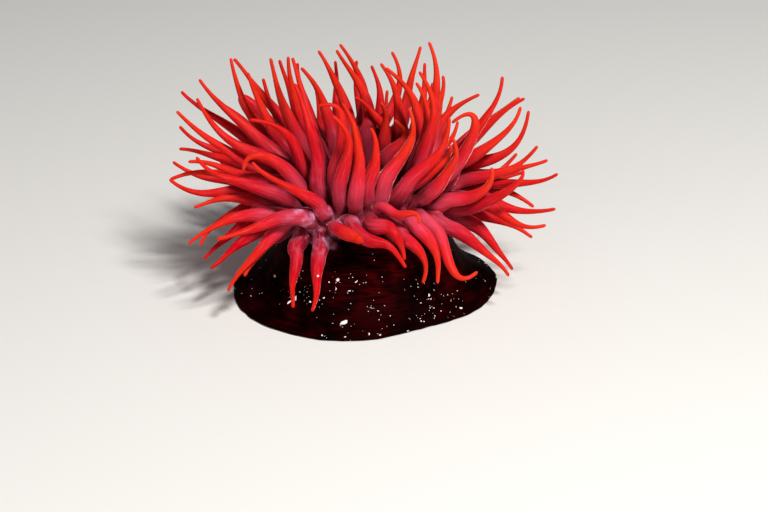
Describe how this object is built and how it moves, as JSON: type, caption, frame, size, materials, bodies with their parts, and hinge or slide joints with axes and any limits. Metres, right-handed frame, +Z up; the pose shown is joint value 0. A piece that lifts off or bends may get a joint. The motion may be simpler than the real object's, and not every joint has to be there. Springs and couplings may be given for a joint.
{
  "type": "beadlet anemone",
  "caption": "Open sea anemone: a flared foot and column with a crown of tapering tentacles in five rings round a bare disc and mouth. A still, life-size model.",
  "frame": {"origin": "the middle of the sole, on the surface that the animal sits on", "axes": "+Z up along the column; -Y is the front, which the broad view faces; +X is on the right in that view"},
  "size_m": [0.0761, 0.0613, 0.0471],
  "materials": {
    "sole": "wet, near-black maroon skin",
    "column": "wet, smooth, near-black maroon skin",
    "collar": "wet dark red skin with a ring of small beads",
    "oral_disc": "wet dark red skin",
    "mouth": "wet red lips, finely ridged",
    "tentacles_inner": "wet, glossy scarlet skin",
    "tentacles_second": "wet, glossy scarlet skin",
    "tentacles_third": "wet, glossy scarlet skin",
    "tentacles_outer": "wet, glossy crimson skin"
  },
  "bodies": {
    "root": {"collar": "collar", "column": "column", "mouth": "mouth", "oral_disc": "oral_disc", "sole": "sole", "tentacles_inner_01": "tentacles_inner", "tentacles_inner_02": "tentacles_inner", "tentacles_inner_03": "tentacles_inner", "tentacles_inner_04": "tentacles_inner", "tentacles_inner_05": "tentacles_inner", "tentacles_inner_06": "tentacles_inner", "tentacles_inner_07": "tentacles_inner", "tentacles_inner_08": "tentacles_inner", "tentacles_inner_09": "tentacles_inner", "tentacles_inner_10": "tentacles_inner", "tentacles_inner_11": "tentacles_inner", "tentacles_inner_12": "tentacles_inner", "tentacles_outer_01": "tentacles_outer", "tentacles_outer_02": "tentacles_outer", "tentacles_outer_03": "tentacles_outer", "tentacles_outer_05": "tentacles_outer", "tentacles_outer_06": "tentacles_outer", "tentacles_outer_07": "tentacles_outer", "tentacles_outer_08": "tentacles_outer", "tentacles_outer_09": "tentacles_outer", "tentacles_outer_10": "tentacles_outer", "tentacles_outer_11": "tentacles_outer", "tentacles_outer_12": "tentacles_outer", "tentacles_second_01": "tentacles_second", "tentacles_second_02": "tentacles_second", "tentacles_second_03": "tentacles_second", "tentacles_second_04": "tentacles_second", "tentacles_second_05": "tentacles_second", "tentacles_second_06": "tentacles_second", "tentacles_second_07": "tentacles_second", "tentacles_second_08": "tentacles_second", "tentacles_second_09": "tentacles_second", "tentacles_second_10": "tentacles_second", "tentacles_second_11": "tentacles_second", "tentacles_second_12": "tentacles_second", "tentacles_third_01": "tentacles_third", "tentacles_third_02": "tentacles_third", "tentacles_third_03": "tentacles_third", "tentacles_third_04": "tentacles_third", "tentacles_third_05": "tentacles_third", "tentacles_third_06": "tentacles_third", "tentacles_third_07": "tentacles_third", "tentacles_third_08": "tentacles_third", "tentacles_third_09": "tentacles_third", "tentacles_third_10": "tentacles_third", "tentacles_third_11": "tentacles_third", "tentacles_third_12": "tentacles_third"}
  },
  "joints": []
}
